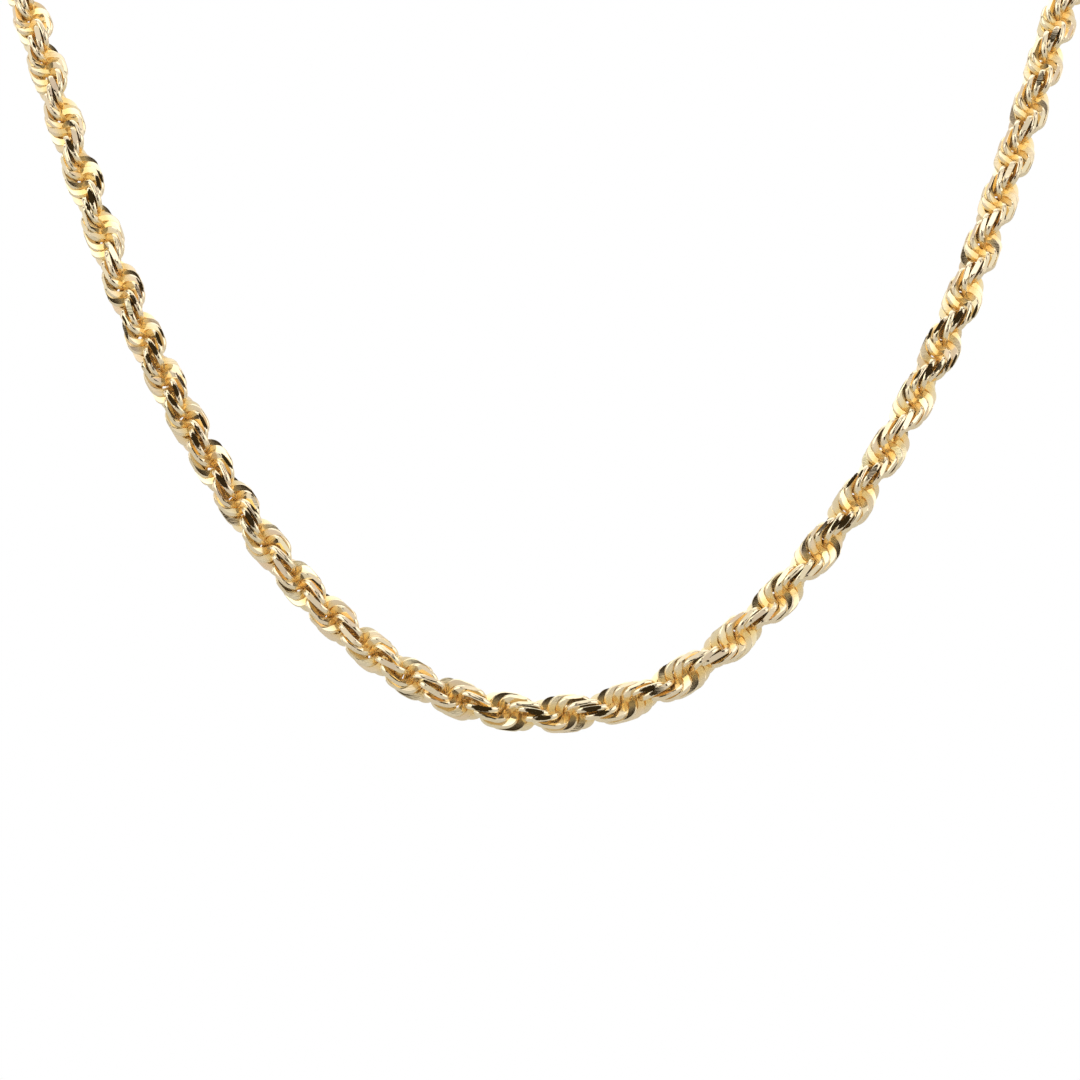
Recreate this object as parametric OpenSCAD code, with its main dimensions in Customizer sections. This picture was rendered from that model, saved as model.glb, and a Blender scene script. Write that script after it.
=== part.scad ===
// Rope chain necklace in yellow gold, closed by a lobster clasp at the nape.
// It keeps the form that it has when it hangs round a neck.
// Origin: middle of the closure at the nape. +Z is up, the front faces -Y.

/* [Loop] */
// Width of the loop between the middles of the rope
loop_width = 124; // [100:1:150]
// Depth of the loop from the nape to the front
loop_depth = 135; // [110:1:160]
// Drop of the loop from the nape to its lowest point
loop_drop = 120; // [60:1:150]

/* [Rope] */
// Width of the twisted rope over its lobes
rope_d = 4.0; // [2.6:0.1:5.2]

/* [End caps] */
// Wall of the cup on each end of the rope
cap_wall = 0.45; // [0.3:0.05:0.8]
// Depth of the cup from its mouth to its floor
cap_depth = 3.4; // [2:0.1:5]
// Thickness of the closed end of the cup
cap_floor = 0.8; // [0.5:0.1:1.4]
// Bevel round the closed end of the cup
cap_bevel = 0.35; // [0.1:0.05:0.45]
// Thickness of the rolled rim at the mouth of the cup
rim_wire = 0.6; // [0.4:0.1:0.9]

/* [Eyes] */
// Wire of the eyes soldered to the caps and the clasp
eye_wire = 0.85; // [0.6:0.05:1.2]
// Hole of each eye
eye_hole = 1.6; // [1.5:0.1:2.4]

/* [Jump rings] */
// Wire of the two jump rings
ring_wire = 0.9; // [0.6:0.05:1.1]
// Hole of the two jump rings
ring_hole = 3.6; // [3.2:0.1:5]

/* [Lobster clasp] */
// Length of the clasp's body without its eye
clasp_len = 10.4; // [9:0.2:14]
// Width of the clasp's body over its two arms
clasp_w = 5.6; // [5:0.1:7]
// Thickness of the arms
clasp_wire = 1.4; // [1:0.05:1.6]
// Length of the solid tail between the arms
clasp_tail = 3.6; // [2.8:0.1:4.2]
// Thickness of the solid tail
clasp_web = 1.7; // [1:0.1:2.2]
// Width of the pivot head on each face of the tail
pivot_d = 1.5; // [1:0.1:1.8]
// Height of each pivot head above the tail
pivot_rise = 0.2; // [0.1:0.05:0.4]
// Width of the thumb knob on the lever arm
knob_d = 1.3; // [0.9:0.1:1.6]
// Height of the thumb knob above the lever arm
knob_rise = 0.9; // [0.5:0.1:1.4]

/* [Fit] */
// Clearance between the rope and its cups
seat_gap = 0.1; // [0.05:0.05:0.3]
// Clearance where a ring bears on an eye or on the clasp
link_gap = 0.12; // [0.05:0.01:0.25]

/* [Hidden] */
gold = [0.86, 0.69, 0.34];

// Route of the right half of the rope from the nape to the middle of the front,
// as shares of half the loop's width, of its depth and of its drop
route_shares = [
    [0.5, 0.033, 0.008],
    [0.734, 0.111, 0.033],
    [0.892, 0.222, 0.071],
    [0.981, 0.352, 0.121],
    [1, 0.481, 0.188],
    [0.965, 0.607, 0.275],
    [0.887, 0.719, 0.383],
    [0.79, 0.811, 0.529],
    [0.677, 0.881, 0.675],
    [0.532, 0.933, 0.808],
    [0.374, 0.97, 0.908],
    [0.194, 0.996, 0.977],
    [0, 1, 1]
];
// Direction that the rope never runs along, across the plane of the loop
loop_normal = [0, -0.66, 0.75];
sides = 12;
steps = 3;
round_fn = 48;

// Radii that follow from the sizes above
cup_in = rope_d / 2 + seat_gap;
cup_out = cup_in + cap_wall;
eye_out = eye_hole / 2 + eye_wire;
eye_sunk = eye_wire / 3;
ring_mid = (ring_hole + ring_wire) / 2;
arm_z = (clasp_w - clasp_wire) / 2;
// How far a ring's wire sits from the middle of an eye that it pulls on
bearing = (eye_hole - ring_wire) / 2 - link_gap;

// Places along the closure, counted from the left end of the rope
left_eye_at = seat_gap + cap_floor + eye_out - eye_sunk;
clasp_ring_at = left_eye_at + bearing + ring_mid;
clasp_eye_at = clasp_ring_at + ring_mid + bearing;
clasp_at = clasp_eye_at + eye_out - eye_sunk;
catch_ring_at = clasp_at + clasp_len - clasp_wire - link_gap + ring_hole / 2;
right_eye_at = catch_ring_at + ring_mid + bearing;
closure_len = right_eye_at + eye_out - eye_sunk + cap_floor + seat_gap;
rope_end = closure_len / 2;
// Where the straight stretch inside the cup ends
cup_mouth = rope_end + cap_depth;

function flip_x(p) = [-p[0], p[1], p[2]];
function unit(v) = v / norm(v);
function last(list) = list[len(list) - 1];
function reversed(list) = [for (i = [len(list) - 1 : -1 : 0]) list[i]];

// Smooth curve from b to c that heads from a towards d
function blend(a, b, c, d, t) =
    (2 * b + (c - a) * t
    + (2 * a - 5 * b + 4 * c - d) * t * t
    + (3 * b - a - 3 * c + d) * t * t * t) / 2;

route_pts = [
    for (s = route_shares)
        [s[0] * loop_width / 2, -s[1] * loop_depth, -s[2] * loop_drop]
];
// The route with one guide point before its start and one past the middle
start = [cup_mouth, 0, 0];
guide = concat(
    [[2 * cup_mouth - route_pts[0][0], route_pts[0][1], route_pts[0][2]], start],
    route_pts,
    [flip_x(route_pts[len(route_pts) - 2])]
);
half_path = concat(
    [[rope_end, 0, 0]],
    [
        for (i = [1 : len(guide) - 3], k = [0 : steps - 1])
            blend(guide[i - 1], guide[i], guide[i + 1], guide[i + 2], k / steps)
    ]
);
path = concat(half_path, [last(route_pts)], reversed([for (p = half_path) flip_x(p)]));

function heading(i) = unit(path[min(i + 1, len(path) - 1)] - path[max(i - 1, 0)]);

// One ring of points round the path
function section(i) =
    let (
        along = heading(i),
        across = unit(cross(along, loop_normal)),
        up = cross(across, along)
    )
    [
        for (k = [0 : sides - 1])
            path[i] + rope_d / 2 * (across * cos(360 * k / sides) + up * sin(360 * k / sides))
    ];

module rope_chain() {
    rings = len(path);
    points = [for (i = [0 : rings - 1]) each section(i)];
    walls = [
        for (i = [0 : rings - 2], k = [0 : sides - 1])
            let (
                a = i * sides + k,
                b = i * sides + (k + 1) % sides
            )
            [a, b, b + sides, a + sides]
    ];
    first = [for (k = [sides - 1 : -1 : 0]) k];
    end = [for (k = [0 : sides - 1]) (rings - 1) * sides + k];
    color(gold)
        polyhedron(points = points, faces = concat([first], walls, [end]));
}

// Ring of round wire in the XZ plane
module wire_ring(hole, wire) {
    rotate([90, 0, 0])
        rotate_extrude($fn = round_fn)
            translate([(hole + wire) / 2, 0])
                circle(d = wire, $fn = 24);
}

// Cup with its eye, the end face of the rope at the origin and the eye on +X
module end_cap() {
    floor_in = seat_gap;
    floor_out = seat_gap + cap_floor;
    mouth = floor_in - cap_depth;
    rotate([0, 90, 0])
        rotate_extrude($fn = round_fn)
            polygon([
                [0, floor_in],
                [cup_in, floor_in],
                [cup_in, mouth],
                [cup_out, mouth],
                [cup_out, floor_out - cap_bevel],
                [cup_out - cap_bevel, floor_out],
                [0, floor_out]
            ]);
    translate([mouth + rim_wire / 2, 0, 0])
        rotate([0, 90, 0])
            rotate_extrude($fn = round_fn)
                translate([cup_out - rim_wire / 4, 0])
                    circle(d = rim_wire, $fn = 24);
    translate([left_eye_at, 0, 0])
        wire_ring(eye_hole, eye_wire);
}

module end_cap_left() {
    color(gold)
        translate([-rope_end, 0, 0])
            end_cap();
}

module end_cap_right() {
    color(gold)
        translate([rope_end, 0, 0])
            mirror([1, 0, 0])
                end_cap();
}

// Jump ring that lies flat, across the eyes
module jump_ring(at) {
    color(gold)
        translate([at - rope_end, 0, 0])
            rotate([90, 0, 0])
                wire_ring(ring_hole, ring_wire);
}

module clasp_ring() {
    jump_ring(clasp_ring_at);
}

module catch_ring() {
    jump_ring(catch_ring_at);
}

// Half of the oval that the two arms follow, bulging towards +X
module arm_bend() {
    rotate([90, 0, 0])
        rotate([0, 0, -90])
            rotate_extrude(angle = 180, $fn = round_fn)
                translate([arm_z, 0])
                    circle(d = clasp_wire, $fn = 24);
}

// Lobster clasp with its tail on -X and its claw on +X
module lobster_clasp() {
    bend_at = clasp_w / 2;
    arm_len = clasp_len - clasp_w;
    knob_at = clasp_tail + knob_d / 2;
    color(gold)
        translate([clasp_at - rope_end, 0, 0]) {
            translate([bend_at, 0, 0])
                mirror([1, 0, 0])
                    arm_bend();
            translate([bend_at + arm_len, 0, 0])
                arm_bend();
            for (side = [-1, 1])
                translate([bend_at, 0, side * arm_z])
                    rotate([0, 90, 0])
                        cylinder(d = clasp_wire, h = arm_len, $fn = 24);
            // Solid tail between the arms
            rotate([90, 0, 0])
                linear_extrude(clasp_web, center = true)
                    intersection() {
                        translate([bend_at, 0])
                            circle(d = clasp_w - clasp_wire / 2, $fn = round_fn);
                        translate([0, -clasp_w / 2])
                            square([clasp_tail, clasp_w]);
                    }
            // Pivot of the lever
            translate([bend_at, 0, 0])
                rotate([90, 0, 0])
                    cylinder(d = pivot_d, h = clasp_web + 2 * pivot_rise, center = true, $fn = 32);
            // Thumb knob on the lever arm
            translate([knob_at, 0, -arm_z])
                rotate([180, 0, 0])
                    cylinder(d = knob_d, h = clasp_wire / 2 + knob_rise, $fn = 32);
            translate([-eye_out + eye_sunk, 0, 0])
                wire_ring(eye_hole, eye_wire);
        }
}

rope_chain();
end_cap_left();
end_cap_right();
clasp_ring();
catch_ring();
lobster_clasp();
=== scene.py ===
# Rope chain necklace in yellow gold: interlocked wire links, cut flat on the outside,
# two end caps, two jump rings and a lobster clasp. Metres, front faces -Y, +Z is up.
import math
import bpy
import numpy as np
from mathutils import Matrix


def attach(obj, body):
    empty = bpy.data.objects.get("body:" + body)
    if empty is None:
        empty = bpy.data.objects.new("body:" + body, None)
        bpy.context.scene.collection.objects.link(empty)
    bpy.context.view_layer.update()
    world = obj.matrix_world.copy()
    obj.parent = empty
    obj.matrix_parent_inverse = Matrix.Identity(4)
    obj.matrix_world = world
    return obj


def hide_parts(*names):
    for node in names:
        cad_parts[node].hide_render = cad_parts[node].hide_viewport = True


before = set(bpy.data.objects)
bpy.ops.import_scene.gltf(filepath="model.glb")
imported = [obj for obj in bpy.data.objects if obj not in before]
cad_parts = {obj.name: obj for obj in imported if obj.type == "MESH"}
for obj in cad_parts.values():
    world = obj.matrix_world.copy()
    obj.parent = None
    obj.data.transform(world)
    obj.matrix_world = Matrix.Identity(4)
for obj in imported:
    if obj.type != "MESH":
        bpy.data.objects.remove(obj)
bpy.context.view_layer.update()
scene = bpy.context.scene

photo = {
    "distance": 1.4,        # from the lens to the front of the rope
    "frameWidth": 0.1125,   # what the frame is wide there
    "x": -0.00060,          # middle of the frame
    "z": -0.10182,
    "front": -0.135,        # the front of the rope
    "sensorWidth": 36,      # millimetres
    "farthest": 20,         # how far the camera sees
}


def addCamera():
    lens = bpy.data.cameras.new("photoCamera")
    lens.sensor_width = photo["sensorWidth"]
    lens.lens = photo["sensorWidth"] * photo["distance"] / photo["frameWidth"]
    lens.clip_end = photo["farthest"]
    camera = bpy.data.objects.new("photoCamera", lens)
    camera.location = (photo["x"], photo["front"] - photo["distance"], photo["z"])
    camera.rotation_euler = (math.pi / 2, 0, 0)
    scene.collection.objects.link(camera)
    scene.camera = camera


addCamera()
print("camera ready")

# the middle line of the rope, the same points as the solid tube's
loop = {
    "width": 0.124,
    "depth": 0.135,
    "drop": 0.120,
    "ropeEnd": 0.01201,     # where the rope ends inside its cap, from the middle of the nape
    "cupMouth": 0.01541,    # where it leaves the cap
    "stepsInCup": 29,
    "stepsPerSpan": 160,
    # from the nape to the middle of the front, as shares of half the width, depth and drop
    "shares": [
        (0.5, 0.033, 0.008),
        (0.734, 0.111, 0.033),
        (0.892, 0.222, 0.071),
        (0.981, 0.352, 0.121),
        (1, 0.481, 0.188),
        (0.965, 0.607, 0.275),
        (0.887, 0.719, 0.383),
        (0.79, 0.811, 0.529),
        (0.677, 0.881, 0.675),
        (0.532, 0.933, 0.808),
        (0.374, 0.97, 0.908),
        (0.194, 0.996, 0.977),
        (0, 1, 1),
    ],
}


def unitRows(rows):
    return rows / np.linalg.norm(rows, axis=1, keepdims=True)


def smoothSpan(a, b, c, d, t):
    # from b to c, heading from a towards d
    return (2 * b + (c - a) * t + (2 * a - 5 * b + 4 * c - d) * t ** 2
            + (3 * b - a - 3 * c + d) * t ** 3) / 2


def ropeRoute():
    # points all along the rope's middle, how far along each one is, and where the rope heads
    half = np.array(loop["shares"]) * (loop["width"] / 2, -loop["depth"], -loop["drop"])
    end, mouth, steps = loop["ropeEnd"], loop["cupMouth"], loop["stepsPerSpan"]
    flip = np.array((-1, 1, 1))
    before = (2 * mouth - half[0][0], half[0][1], half[0][2])
    guide = np.vstack((before, (mouth, 0, 0), half, half[-2] * flip))
    line = [(x, 0, 0) for x in np.linspace(end, mouth, loop["stepsInCup"], endpoint=False)]
    for i in range(1, len(guide) - 2):
        for t in np.arange(steps) / steps:
            line.append(smoothSpan(*guide[i - 1:i + 3], t))
    right = np.array(line)
    points = np.vstack((right, half[-1:], right[::-1] * flip))
    spans = np.linalg.norm(np.diff(points, axis=0), axis=1)
    along = np.concatenate(([0], np.cumsum(spans)))
    return points, along, unitRows(np.gradient(points, along, axis=0))


def followRoute(route, local):
    # local x runs to the rope's side, y away from its front, z along it
    points, along, headings = route
    middle, run = (np.stack([np.interp(local[:, 2], along, part[:, i]) for i in range(3)], 1)
                   for part in (points, headings))
    run = unitRows(run)
    back = unitRows(np.array((0.0, 1.0, 0.0)) - run * run[:, 1:2])
    side = np.cross(back, run)
    return middle + side * local[:, :1] + back * local[:, 1:2]


# one link is a slightly square ring of wire with two flat faces
rope = {
    "halfTurn": 0.00614,        # length of rope in which the lobes make half a turn
    "linksPerHalfTurn": 7,
    "wire": 0.00078,
    "ringRadius": 0.001766,
    "squareness": 0.055,        # share of the radius by which the ring's four sides are flattened
    "tilt": 1.47,               # of the ring's own axis from the rope's, radians
    "turn": -1.571,             # of that tilt round the rope
    "inward": 1.4,              # how much deeper the wire is towards the middle of its ring
    "sideFlats": 0.00056,       # thickness of the wire between the flat faces of the ring
    "flats": 7,
    "acrossFlats": 0.00384,
    "flatTurn": 12.857,         # degrees that brings one flat to the very front
    "grazing": 0.995,           # beyond this share of the wire's radius a flat only grazes it
    "leastFacing": 0.5,         # how squarely the wire has to face a flat to be cut by it
    "sharpFrom": 17,            # degrees between faces from which their edge is sharp
    "aroundRing": 72,
    "outerSteps": 8,            # steps round the outer and the inner arc of the wire
    "innerSteps": 2,
    "pieces": 5,
    # how the rope is wound up or loosened as it hangs: share of its length, degrees
    "wound": [
        (0.33, 15), (0.37, 5), (0.43, -60), (0.485, -135), (0.51, -130), (0.56, -10),
        (0.59, 30), (0.63, 110), (0.65, 105), (0.69, 10), (0.71, -35), (0.75, -60),
    ],
    # stretches whose flats look away from the front: from and to as shares, and degrees
    "averted": [
        (0.31, 0.35, 9), (0.39, 0.40, -9), (0.43, 0.46, -8),
        (0.525, 0.57, -9), (0.65, 0.655, 9), (0.685, 0.70, 7),
    ],
    "avertedFade": 0.012,       # share of its length over which they turn back
    "seed": 7,                  # of the looseness that follows
    "twist": 1.5,               # degrees that the rope is twisted further
    "twistTogether": 3,         # links that twist together
    "play": 1.6,                # degrees that each link leans by itself
    "hollowFrom": 0.0015,       # distance from the rope's middle where its hollows begin
    "hollowFade": 0.0007,
}


def linkRing():
    # middle line of the wire, with its outward direction and the ring's own axis at each place
    tilt, turn = rope["tilt"], rope["turn"]
    axis = np.array((math.sin(tilt) * math.cos(turn), math.sin(tilt) * math.sin(turn),
                     math.cos(tilt)))
    u = np.cross(axis, (0, 0, 1.0))
    u /= np.linalg.norm(u)
    v = np.cross(axis, u)
    t = np.arange(rope["aroundRing"]) * 2 * math.pi / rope["aroundRing"]
    radius = rope["ringRadius"] * (1 - rope["squareness"] * np.cos(4 * t))
    middle = (radius * np.cos(t))[:, None] * u + (radius * np.sin(t))[:, None] * v
    run = unitRows(np.roll(middle, -1, 0) - np.roll(middle, 1, 0))
    return middle, np.cross(run, axis), np.tile(-axis, (len(t), 1))


def wireSection():
    # angles round the wire, outer arc first; the long steps between the arcs are the flat faces
    edge = math.asin(rope["sideFlats"] / rope["wire"])
    return np.concatenate((np.linspace(-edge, edge, rope["outerSteps"] + 1),
                           np.linspace(math.pi - edge, math.pi + edge, rope["innerSteps"] + 1)))


def turnZ(points, angle):
    c, s = math.cos(angle), math.sin(angle)
    return points @ np.array(((c, s, 0), (-s, c, 0), (0, 0, 1)))


def edgedSections(middle, outward, sideways):
    # the wire's section at each place, with two of its points moved onto the edges of the
    # nearest flat, so that the edges come out clean
    section, last = wireSection(), rope["outerSteps"]
    wireRadius, step = rope["wire"] / 2, 2 * math.pi / rope["flats"]
    sections = np.tile(section, (len(middle), 1))
    nearest = np.round(np.arctan2(middle[:, 1], middle[:, 0]) / step) * step
    facing = np.stack((np.cos(nearest), np.sin(nearest), np.zeros(len(middle))), 1)
    qa = wireRadius * (outward * facing).sum(1)
    qb = wireRadius * (sideways * facing).sum(1)
    share = (rope["acrossFlats"] / 2 - (middle * facing).sum(1)) / np.hypot(qa, qb)
    for i in np.nonzero(np.abs(share) < rope["grazing"])[0]:
        centre, spread = math.atan2(qb[i], qa[i]), math.acos(share[i])
        taken = 0
        for edge in (centre - spread, centre + spread):
            j = int(np.abs(section[1:last] - edge).argmin()) + 1
            if j != taken and abs(edge) < section[last]:
                sections[i, j] = edge
                taken = j
    return sections


def cutLink(ring, angle):
    # wire surface of one link, turned round the rope and cut back to the flats, and the
    # number of the flat that each point lies in, or -1
    flatTurn, step = math.radians(rope["flatTurn"]), 2 * math.pi / rope["flats"]
    middle, outward, sideways = (turnZ(part, angle - flatTurn) for part in ring)
    sections = edgedSections(middle, outward, sideways)
    depth = np.cos(sections) * np.where(np.cos(sections) < 0, rope["inward"], 1)
    surface = middle[:, None] + rope["wire"] / 2 * (
        depth[..., None] * outward[:, None] + np.sin(sections)[..., None] * sideways[:, None])
    flat = np.full(sections.shape, -1)
    rounding = 1e-9     # a point that lies in the flat may miss it by this
    for k in range(rope["flats"]):
        normal = np.array((math.cos(k * step), math.sin(k * step), 0))
        slope = (outward @ normal)[:, None]
        proud = (surface * normal).sum(-1) - rope["acrossFlats"] / 2
        cut = (proud > -rounding) & (slope > rope["leastFacing"])
        flat[cut] = k
        surface -= np.where(cut, proud / slope, 0)[..., None] * outward[:, None]
    return turnZ(surface.reshape(-1, 3), flatTurn), flat


def linkFaces():
    # quads of one link, and which of them are the flat faces of its ring
    rings, sides = rope["aroundRing"], len(wireSection())
    i, j = np.meshgrid(np.arange(rings), np.arange(sides), indexing="ij")
    nextI, nextJ = (i + 1) % rings, (j + 1) % sides
    corners = (i * sides + j, nextI * sides + j, nextI * sides + nextJ, i * sides + nextJ)
    flatFaces = np.isin(j, (rope["outerSteps"], sides - 1))
    return np.stack(corners, -1).reshape(-1, 4), flatFaces.ravel()


def meshFromArrays(name, verts, quads, materialIndex, hollow):
    mesh = bpy.data.meshes.new(name)
    mesh.vertices.add(len(verts))
    mesh.vertices.foreach_set("co", verts.astype(np.float32).ravel())
    mesh.loops.add(quads.size)
    mesh.loops.foreach_set("vertex_index", quads.astype(np.int32).ravel())
    mesh.polygons.add(len(quads))
    mesh.polygons.foreach_set("loop_start", np.arange(0, quads.size, 4, dtype=np.int32))
    mesh.update(calc_edges=True)
    mesh.polygons.foreach_set("material_index", materialIndex.astype(np.int32))
    depth = mesh.attributes.new("hollow", "FLOAT", "POINT")
    depth.data.foreach_set("value", hollow.astype(np.float32))
    mesh.update()
    mesh.shade_smooth()
    mesh.set_sharp_from_angle(angle=math.radians(rope["sharpFrom"]))
    return mesh


def looseness(count):
    # how far each link is twisted round the rope, and its own small lean
    random = np.random.default_rng(rope["seed"])
    together = rope["twistTogether"]
    reach = 4 * together        # links on each side over which the window fades out
    window = np.exp(-0.5 * (np.arange(-reach, reach + 1) / together) ** 2)
    window /= np.sqrt((window ** 2).sum())
    twist = np.convolve(random.normal(size=count + len(window) - 1), window, mode="valid")
    play = random.normal(size=(count, 3))
    return np.radians(rope["twist"]) * twist, np.radians(rope["play"]) * play


def lean(points, turns):
    # small turns about the three axes through the link's own middle
    return points + np.cross(turns, points)


def ropeTurns(share):
    # how far the rope is wound up at this share of its length, and how far its flats are averted
    wound = np.interp(share, *zip(*rope["wound"]))
    averted = sum(turn * max(0, 1 - max(0, first - share, share - last) / rope["avertedFade"])
                  for first, last, turn in rope["averted"])
    return math.radians(wound), math.radians(averted)


def addRope(wireGold, flatGold):
    route, ring = ropeRoute(), linkRing()
    faces, flatFaces = linkFaces()
    length = route[1][-1]
    reach = np.abs(ring[0][:, 2]).max() + rope["wire"] / 2
    spacing = rope["halfTurn"] / rope["linksPerHalfTurn"]
    stepAngle = math.pi + math.pi / rope["linksPerHalfTurn"]
    count = int((length - 2 * reach) / spacing) + 1
    start = (length - (count - 1) * spacing) / 2
    twist, play = looseness(count)
    linksInPiece = math.ceil(count / rope["pieces"])
    for piece in range(rope["pieces"]):
        verts, quads, slots, hollows = [], [], [], []
        for k in range(piece * linksInPiece, min(count, (piece + 1) * linksInPiece)):
            at = start + k * spacing
            wound, averted = ropeTurns(at / length)
            surface, flat = cutLink(ring, k * stepAngle + wound - averted)
            # the hollows near the rope's middle get a painted warm bounce light in the gold's
            # colour
            fromMiddle = np.hypot(surface[:, 0], surface[:, 1])
            hollows.append(np.clip((rope["hollowFrom"] - fromMiddle) / rope["hollowFade"], 0, 1))
            surface = turnZ(lean(surface, play[k]), averted + twist[k])
            surface[:, 2] += at
            corner = flat.ravel()[faces]
            cutFaces = (corner[:, 0] >= 0) & (corner == corner[:, :1]).all(1)
            slots.append(flatFaces | cutFaces)
            quads.append(faces + len(verts) * len(surface))
            verts.append(followRoute(route, surface))
        name = "rope_links_%d" % (piece + 1)
        mesh = meshFromArrays(name, *map(np.concatenate, (verts, quads, slots, hollows)))
        mesh.materials.append(wireGold)
        mesh.materials.append(flatGold)
        links = bpy.data.objects.new(name, mesh)
        scene.collection.objects.link(links)
        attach(links, "root")
        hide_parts("rope_chain")
    print("rope: %d links on %.1f mm" % (count, length * 1000))


# what each finish of the gold looks like
finishes = {
    "metalColor": (0.895, 0.775, 0.555),
    "closureColor": (0.875, 0.685, 0.40),   # plain smooth metal, without the rope's painted warm bounce light in its hollows
    # the colour of the painted warm bounce light in the rope's hollows
    "hollowBounceColor": (0.98, 0.72, 0.30),
    # polish is the roughness, haze how much it varies, ripple and marks the depth of the relief
    "wire": {"polish": 0.11, "haze": 0.10, "ripple": 0.5, "marks": 0.7},
    "flat": {"polish": 0.05, "haze": 0.06, "ripple": 0.08, "marks": 0.3},
    "cap": {"polish": 0.16, "haze": 0.16, "ripple": 0.25, "marks": 0.075},
    "clasp": {"polish": 0.14, "haze": 0.16, "ripple": 0.35, "marks": 0.06},
    "reliefDepth": 0.00001,
    "leastRoughness": 0.04,
    # the colour drifts between two tints
    "firstTint": (1.0, 0.955, 0.985),
    "secondTint": (0.965, 1.0, 0.955),
    # how fine each pattern is, and the way and amount in which the marks are drawn out
    "tintScale": 240,
    "hazeScale": 1300,
    "rippleScale": 1100,
    "marksScale": 1300,
    "marksTurn": (0.5, 0.9, 0.3),
    "marksStretch": (1, 1, 6),
    # what a hollow adds to the roughness and the ripple, and takes from the metal so that its
    # painted warm bounce light shows
    "hollowRoughness": 0.04,
    "hollowRipple": 0.8,
    "hollowBounceShare": 0.4,
}


def opaque(color):
    return (*color, 1)


def feed(tree, socket, value):
    # a socket takes another node's output or a plain value
    if isinstance(value, bpy.types.NodeSocket):
        tree.links.new(value, socket)
    else:
        socket.default_value = value


def addNode(tree, kind, settings=None, **inputs):
    node = tree.nodes.new(kind)
    for key, value in (settings or {}).items():
        setattr(node, key, value)
    for key, value in inputs.items():
        feed(tree, node.inputs[key], value)
    return node


def addNoise(tree, place, scale, detail):
    node = addNode(tree, "ShaderNodeTexNoise", Vector=place, Scale=scale, Detail=detail)
    return node.outputs[0]


def calculate(tree, operation, first, second):
    node = addNode(tree, "ShaderNodeMath", {"operation": operation})
    feed(tree, node.inputs[0], first)
    feed(tree, node.inputs[1], second)
    return node.outputs[0]


def mixColors(tree, factor, first, second, blend="MIX"):
    node = addNode(tree, "ShaderNodeMix", {"data_type": "RGBA", "blend_type": blend})
    # a node for colours keeps its factor and its two colours at these places
    for place, value in ((0, factor), (6, first), (7, second)):
        feed(tree, node.inputs[place], value)
    return node.outputs[2]


def makeGoldGroup():
    # worn yellow gold: colour that deepens in the hollows as a painted warm bounce light, uneven
    # polish, ripple and fine marks
    group = bpy.data.node_groups.new("wornGoldWithPaintedBounce", "ShaderNodeTree")
    sockets = (("INPUT", "Color", ("Metal Color", "Hollow Bounce Color")),
               ("INPUT", "Float", ("Hollow", "Polish", "Haze", "Ripple", "Marks")),
               ("OUTPUT", "Color", ("Color",)),
               ("OUTPUT", "Float", ("Roughness", "Metallic", "Height")))
    for side, kind, names in sockets:
        for name in names:
            group.interface.new_socket(name=name, in_out=side, socket_type="NodeSocket" + kind)
    given = group.nodes.new("NodeGroupInput").outputs
    result = group.nodes.new("NodeGroupOutput").inputs
    place = group.nodes.new("ShaderNodeTexCoord").outputs["Object"]
    drawn = addNode(group, "ShaderNodeMapping", Vector=place, Rotation=finishes["marksTurn"],
                    Scale=finishes["marksStretch"]).outputs[0]
    cloud = addNoise(group, place, finishes["tintScale"], detail=2)
    haze = addNoise(group, place, finishes["hazeScale"], detail=3)
    ripple = addNoise(group, place, finishes["rippleScale"], detail=1)
    marks = addNoise(group, drawn, finishes["marksScale"], detail=2)

    def times(first, second):
        return calculate(group, "MULTIPLY", first, second)

    def plus(first, second):
        return calculate(group, "ADD", first, second)

    hollow = given["Hollow"]
    tint = mixColors(group, cloud, opaque(finishes["firstTint"]), opaque(finishes["secondTint"]))
    metal = mixColors(group, 1.0, given["Metal Color"], tint, "MULTIPLY")
    # painted warm bounce light: in the hollows the colour turns to the hollow bounce colour
    feed(group, result["Color"], mixColors(group, hollow, metal, given["Hollow Bounce Color"]))

    uneven = times(calculate(group, "SUBTRACT", haze, 0.5), given["Haze"])
    hollowsAndWear = times(hollow, finishes["hollowRoughness"])
    rough = plus(plus(given["Polish"], uneven), hollowsAndWear)
    feed(group, result["Roughness"],
         calculate(group, "MAXIMUM", rough, finishes["leastRoughness"]))
    # the hollows are less metallic, so that more of their painted warm bounce light shows
    feed(group, result["Metallic"],
         calculate(group, "SUBTRACT", 1.0, times(hollow, finishes["hollowBounceShare"])))

    pressed = plus(given["Ripple"], times(hollow, finishes["hollowRipple"]))
    feed(group, result["Height"], plus(times(ripple, pressed), times(marks, given["Marks"])))
    return group


goldGroup = makeGoldGroup()


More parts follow.
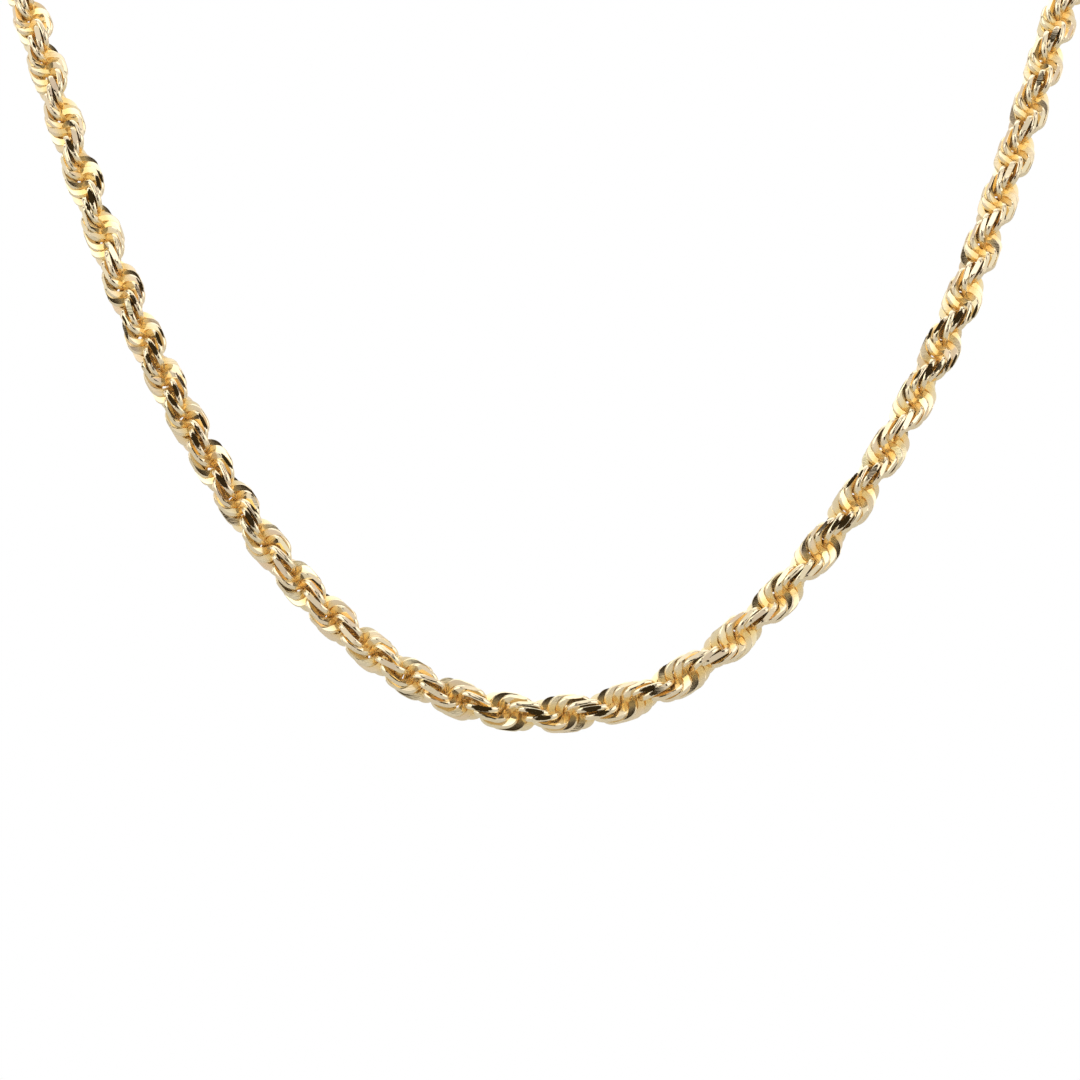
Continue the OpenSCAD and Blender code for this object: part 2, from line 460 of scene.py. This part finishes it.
def goldMaterial(name, finish, metal, hollows=False):
    material = bpy.data.materials.new(name)
    material.use_nodes = True
    tree = material.node_tree
    shader = tree.nodes["Principled BSDF"]
    hollowsAndWear = addNode(tree, "ShaderNodeGroup", {"node_tree": goldGroup})
    feed(tree, hollowsAndWear.inputs["Metal Color"], opaque(finishes[metal]))
    feed(tree, hollowsAndWear.inputs["Hollow Bounce Color"], opaque(finishes["hollowBounceColor"]))
    for key in ("polish", "haze", "ripple", "marks"):
        feed(tree, hollowsAndWear.inputs[key.title()], finishes[finish][key])
    feed(tree, shader.inputs["Base Color"], hollowsAndWear.outputs["Color"])
    feed(tree, shader.inputs["Roughness"], hollowsAndWear.outputs["Roughness"])
    if hollows:
        # the rope's hollows get the painted warm bounce light
        depth = addNode(tree, "ShaderNodeAttribute", {"attribute_name": "hollow"})
        feed(tree, hollowsAndWear.inputs["Hollow"], depth.outputs["Fac"])
        feed(tree, shader.inputs["Metallic"], hollowsAndWear.outputs["Metallic"])
    else:
        feed(tree, shader.inputs["Metallic"], 1)
    relief = addNode(tree, "ShaderNodeBump", Height=hollowsAndWear.outputs["Height"],
                     Distance=finishes["reliefDepth"])
    feed(tree, shader.inputs["Normal"], relief.outputs["Normal"])
    return material


addRope(goldMaterial("ropeWireGold", "wire", "metalColor", hollows=True),
        goldMaterial("ropeFlatGold", "flat", "metalColor", hollows=True))

capGold = goldMaterial("capGold", "cap", "closureColor")
claspGold = goldMaterial("claspGold", "clasp", "closureColor")
closure = {
    "end_cap_left": capGold,
    "end_cap_right": capGold,
    "clasp_ring": claspGold,
    "catch_ring": claspGold,
    "lobster_clasp": claspGold,
}
for nodeName, nodeGold in closure.items():
    for slot in bpy.data.objects[nodeName].material_slots:
        slot.material = nodeGold
print("closure ready")

floor = {
    "z": -0.2,
    "radius": 0.7,
    "centreY": -0.07,
    "corners": 96,
    "color": (0.66, 0.66, 0.65),
    "roughness": 0.8,
    "grainScale": 60,
    "grain": 0.97,      # how much of the colour is left where the grain is darkest
}


def addFloor():
    # round plain table top, just below what the camera sees
    angles = np.arange(floor["corners"]) * 2 * math.pi / floor["corners"]
    verts = [(floor["radius"] * math.cos(a), floor["centreY"] + floor["radius"] * math.sin(a),
              floor["z"]) for a in angles]
    mesh = bpy.data.meshes.new("floor")
    mesh.from_pydata(verts, [], [range(floor["corners"])])
    material = bpy.data.materials.new("paleFloor")
    material.use_nodes = True
    tree = material.node_tree
    shader = tree.nodes["Principled BSDF"]
    place = tree.nodes.new("ShaderNodeTexCoord").outputs["Object"]
    grain = addNoise(tree, place, floor["grainScale"], detail=4)
    dark = tuple(floor["grain"] * c for c in floor["color"])
    feed(tree, shader.inputs["Base Color"],
         mixColors(tree, grain, opaque(dark), opaque(floor["color"])))
    feed(tree, shader.inputs["Roughness"], floor["roughness"])
    mesh.materials.append(material)
    table = bpy.data.objects.new("floor", mesh)
    scene.collection.objects.link(table)


addFloor()
print("floor ready")

# zones, lamps and gaps: direction, half width of the zone and of its soft edge in degrees
studio = {
    "wall": (0.90, 0.875, 0.865),   # the pale walls all round
    "backdrop": (1.0, 1.0, 1.0),    # what the camera sees behind the rope
    "zones": [
        ((0.0, -0.9, 0.42), 42, 10, (0.75, 0.72, 0.715)),       # dimmer room in front
        ((-0.75, -0.35, 0.60), 23, 8, (1.70, 1.77, 1.66)),      # soft box on the left
        ((0.80, -0.30, 0.50), 21, 8, (1.78, 1.70, 1.67)),       # soft box on the right
        ((0.0, 0.55, 0.85), 26, 10, (1.45, 1.45, 1.45)),        # soft box above, behind the rope
    ],
    # small lamps round the lens and behind the rope
    "lampColor": (1.8, 1.8, 1.75),
    "lampEdge": 4,
    "lamps": [
        ((0.00, -0.62, 0.79), 11),
        ((0.00, -0.62, -0.79), 11),
        ((-0.64, -0.62, 0.45), 11),
        ((0.64, -0.62, 0.45), 11),
        ((0.64, -0.62, -0.45), 11),
        ((-0.64, -0.62, -0.45), 11),
        ((0.69, 0.72, -0.10), 10),
        ((-0.69, 0.72, -0.10), 10),
        ((0.48, 0.50, 0.72), 10),
        ((-0.48, 0.50, 0.72), 10),
    ],
    # the room is lit unevenly: how close its patches are, the noise that makes the weakest and
    # the strongest, and what they do to a colour
    "patches": 3.5,
    "patchNoise": (0.35, 0.65),
    "weakest": (0.87, 0.81, 0.815),
    "strongest": (1.08, 1.12, 1.07),
    # dark opening round the lens, and dark gaps between the boxes
    "darkColor": (0.035, 0.024, 0.011),
    "darkEdge": 1,
    "gaps": [
        ((0.00, -1.00, 0.00), 19),
        ((0.38, -0.85, 0.37), 8),
        ((0.33, -0.71, 0.62), 9),
        ((0.33, -0.45, 0.83), 8),
        ((0.90, 0.40, -0.14), 9),
        ((0.67, 0.27, 0.69), 9),
        ((-0.38, -0.85, 0.37), 8),
        ((-0.33, -0.71, 0.62), 9),
        ((-0.33, -0.45, 0.83), 8),
        ((-0.90, 0.40, -0.14), 9),
        ((-0.67, 0.27, 0.69), 9),
    ],
}


def addZone(tree, direction, around, towards, halfWidth, edge, color):
    # round zone of one colour, with a soft edge, laid over the colours around it
    length = math.sqrt(sum(c * c for c in towards))
    dot = addNode(tree, "ShaderNodeVectorMath", {"operation": "DOT_PRODUCT"})
    feed(tree, dot.inputs[0], direction)
    feed(tree, dot.inputs[1], [c / length for c in towards])
    inside = addNode(tree, "ShaderNodeMapRange", {"interpolation_type": "SMOOTHSTEP"},
                     Value=dot.outputs["Value"])
    feed(tree, inside.inputs["From Min"], math.cos(math.radians(halfWidth + edge)))
    feed(tree, inside.inputs["From Max"], math.cos(math.radians(halfWidth - edge)))
    return mixColors(tree, inside.outputs["Result"], around, opaque(color))


def addPatches(tree, direction, color):
    noise = addNoise(tree, direction, studio["patches"], detail=1)
    strength = addNode(tree, "ShaderNodeMapRange", Value=noise)
    feed(tree, strength.inputs["From Min"], studio["patchNoise"][0])
    feed(tree, strength.inputs["From Max"], studio["patchNoise"][1])
    uneven = mixColors(tree, strength.outputs["Result"], opaque(studio["weakest"]),
                       opaque(studio["strongest"]))
    return mixColors(tree, 1.0, color, uneven, "MULTIPLY")


def addWorld():
    world = bpy.data.worlds.new("studio")
    scene.world = world
    world.use_nodes = True
    tree = world.node_tree
    tree.nodes.clear()
    direction = tree.nodes.new("ShaderNodeTexCoord").outputs["Generated"]
    color = opaque(studio["wall"])
    for zone in studio["zones"]:
        color = addZone(tree, direction, color, *zone)
    for towards, halfWidth in studio["lamps"]:
        color = addZone(tree, direction, color, towards, halfWidth, studio["lampEdge"],
                        studio["lampColor"])
    color = addPatches(tree, direction, color)
    for towards, halfWidth in studio["gaps"]:
        color = addZone(tree, direction, color, towards, halfWidth, studio["darkEdge"],
                        studio["darkColor"])
    lit = addNode(tree, "ShaderNodeBackground", Color=color)
    seen = addNode(tree, "ShaderNodeBackground", Color=opaque(studio["backdrop"]))
    cameraRay = tree.nodes.new("ShaderNodeLightPath").outputs["Is Camera Ray"]
    mix = tree.nodes.new("ShaderNodeMixShader")
    for socket, output in zip(mix.inputs, (cameraRay, lit.outputs[0], seen.outputs[0])):
        feed(tree, socket, output)
    feed(tree, tree.nodes.new("ShaderNodeOutputWorld").inputs[0], mix.outputs[0])


addWorld()
scene.view_settings.view_transform = "Standard"
print("light ready")
